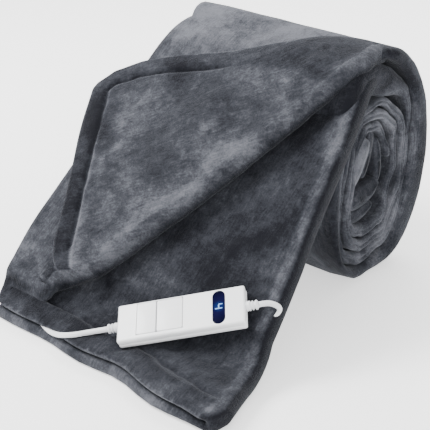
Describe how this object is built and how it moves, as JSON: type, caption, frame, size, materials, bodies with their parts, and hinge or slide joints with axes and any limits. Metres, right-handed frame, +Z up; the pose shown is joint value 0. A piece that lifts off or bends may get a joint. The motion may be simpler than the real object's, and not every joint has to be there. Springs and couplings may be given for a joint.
{
  "type": "electric heated blanket",
  "caption": "Grey plush heated blanket, folded lengthwise and rolled, its loose end drawn out and a corner turned back, with a white hand controller on its leads.",
  "frame": {"origin": "on the floor under the axis of the roll, half way along the roll", "axes": "+Z up; X along the roll, its near end with the bare spiral at +X; the loose tail is drawn out towards -Y"},
  "size_m": [0.4844, 0.4887, 0.2894],
  "materials": {
    "plush": "plush pile",
    "controller_white": "satin",
    "key_white": "satin",
    "window_navy": "gloss",
    "lead_white": "satin",
    "pin_metal": "nickel plated",
    "tie_grey": "matt"
  },
  "bodies": {
    "blanket_and_controller": {"blanket": "plush", "controller_base": "controller_white", "controller_cover": "controller_white", "display_window": "window_navy", "strain_relief_left": "lead_white", "strain_relief_right": "lead_white", "blanket_lead": "lead_white", "mains_lead": "lead_white", "mains_coil": "lead_white", "mains_lead_end": "lead_white", "cord_tie": "tie_grey", "plug_body": "controller_white", "plug_pin_left": "pin_metal", "plug_pin_right": "pin_metal"},
    "key_left_body": {"key_left": "key_white"},
    "key_right_body": {"key_right": "key_white"}
  },
  "joints": [
    {"name": "key_left_press", "type": "slide", "parent": "blanket_and_controller", "child": "key_left_body", "axis": [-0.0749, 0.4879, -0.8697], "range_m": [0, 0.001], "stiffness_N_per_m": 300, "springref_m": -0.0005},
    {"name": "key_right_press", "type": "slide", "parent": "blanket_and_controller", "child": "key_right_body", "axis": [-0.0749, 0.4879, -0.8697], "range_m": [0, 0.001], "stiffness_N_per_m": 300, "springref_m": -0.0005}
  ]
}
